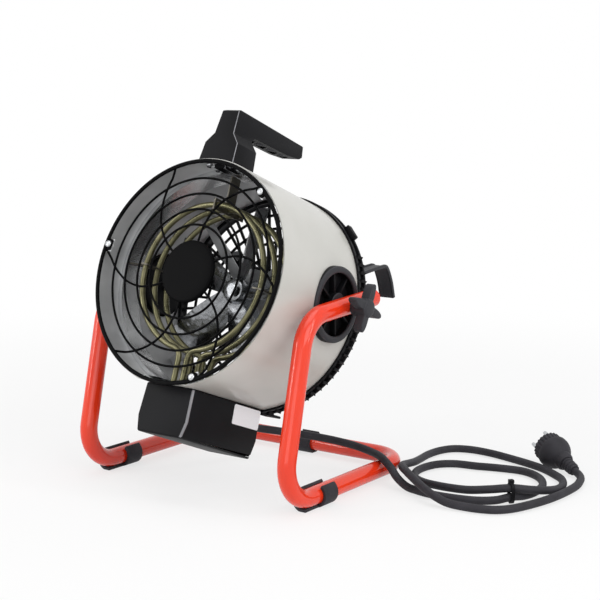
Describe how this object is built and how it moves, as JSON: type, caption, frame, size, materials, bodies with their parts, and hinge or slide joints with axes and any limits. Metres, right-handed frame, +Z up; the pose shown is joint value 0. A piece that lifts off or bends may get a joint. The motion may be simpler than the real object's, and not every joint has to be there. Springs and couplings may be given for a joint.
{
  "type": "fan heater",
  "caption": "Portable electric fan heater: tilting metal drum with wire grille and carrying handle, hung by star knobs in a bent tube stand, with a mains cord and plug.",
  "frame": {"origin": "on the floor, at the middle of the bottom of the box round everything but the cord", "axes": "+X to the heater's left as it blows, along the tilt pivots; -Y the way it blows; +Z up"},
  "size_m": [0.5167, 0.4029, 0.4175],
  "materials": {
    "red_enamel": "glossy red enamel on steel tube",
    "drum_paint": "light grey satin paint on sheet steel",
    "black_plastic": "black moulded plastic, fine texture",
    "grille_black": "black powder coat on wire",
    "rubber": "dark grey rubber",
    "zinc_sheet": "zinc-coated sheet",
    "screw_steel": "bright plated steel",
    "element_rod": "olive oxidised steel sheath",
    "fan_aluminium": "bright aluminium",
    "motor_black": "black lacquered motor shell",
    "label_white": "blank white label",
    "ivory_plastic": "ivory moulded plastic"
  },
  "bodies": {
    "stand": {"stand_tube": "red_enamel", "foot_clip_front_left": "rubber", "foot_clip_front_right": "rubber", "foot_clip_rear": "rubber", "cord_lead": "rubber", "cord_loops": "rubber", "cord_tail": "rubber", "plug_body": "rubber", "plug_sleeve": "rubber", "plug_pin_1": "screw_steel", "plug_pin_2": "screw_steel", "cable_tie": "black_plastic"},
    "drum": {"outer_casing": "drum_paint", "front_grille": "grille_black", "grille_disc": "grille_black", "grille_screw_1": "screw_steel", "grille_screw_2": "screw_steel", "grille_screw_3": "screw_steel", "heat_shield": "zinc_sheet", "heating_element_1": "element_rod", "heating_element_2": "element_rod", "heating_element_3": "element_rod", "element_support_1": "zinc_sheet", "element_support_2": "zinc_sheet", "element_support_3": "zinc_sheet", "fan_motor": "motor_black", "motor_bracket": "zinc_sheet", "rear_guard": "black_plastic", "guard_screw_1": "screw_steel", "guard_screw_2": "screw_steel", "guard_screw_3": "screw_steel", "cable_hook_left": "black_plastic", "cable_hook_right": "black_plastic", "handle": "black_plastic", "handle_screw_1": "screw_steel", "handle_screw_2": "screw_steel", "handle_screw_3": "screw_steel", "handle_screw_4": "screw_steel", "control_box": "black_plastic", "control_panel": "black_plastic", "panel_screw_1": "screw_steel", "panel_screw_2": "screw_steel", "thermostat": "ivory_plastic", "selector_switch": "ivory_plastic", "terminal_block": "ivory_plastic", "thermal_cutout": "ivory_plastic", "cable_gland": "black_plastic", "gland_nut": "black_plastic", "rating_label": "label_white", "pivot_cup_left": "black_plastic", "pivot_cup_right": "black_plastic", "pivot_bolt_left": "zinc_sheet", "pivot_bolt_right": "zinc_sheet"},
    "fan": {"fan_impeller": "fan_aluminium", "motor_shaft": "screw_steel"},
    "star_left": {"star_knob_left": "black_plastic"},
    "star_right": {"star_knob_right": "black_plastic"},
    "thermostat_dial": {"thermostat_knob": "black_plastic"},
    "selector_dial": {"selector_knob": "black_plastic"}
  },
  "joints": [
    {"name": "drum_tilt", "type": "hinge", "parent": "stand", "child": "drum", "pos_m": [0, 0.00592, 0.21], "axis": [1, 0, 0], "range_deg": [-54, 36], "deforming": ["cord_lead"]},
    {"name": "fan_spin", "type": "hinge", "parent": "drum", "child": "fan", "pos_m": [0, 0.00592, 0.21], "axis": [0, 0.9339, -0.3576], "continuous": true},
    {"name": "star_left_turn", "type": "hinge", "parent": "drum", "child": "star_left", "pos_m": [0, 0.00592, 0.21], "axis": [-1, 0, 0], "range_deg": [-30, 360]},
    {"name": "star_right_turn", "type": "hinge", "parent": "drum", "child": "star_right", "pos_m": [0, 0.00592, 0.21], "axis": [1, 0, 0], "range_deg": [-30, 360]},
    {"name": "thermostat_turn", "type": "hinge", "parent": "drum", "child": "thermostat_dial", "pos_m": [0.016, -0.01554, 0.04207], "axis": [0, 0.9339, -0.3576], "range_deg": [0, 270]},
    {"name": "selector_turn", "type": "hinge", "parent": "drum", "child": "selector_dial", "pos_m": [-0.016, -0.01554, 0.04207], "axis": [0, 0.9339, -0.3576], "range_deg": [0, 180]}
  ]
}
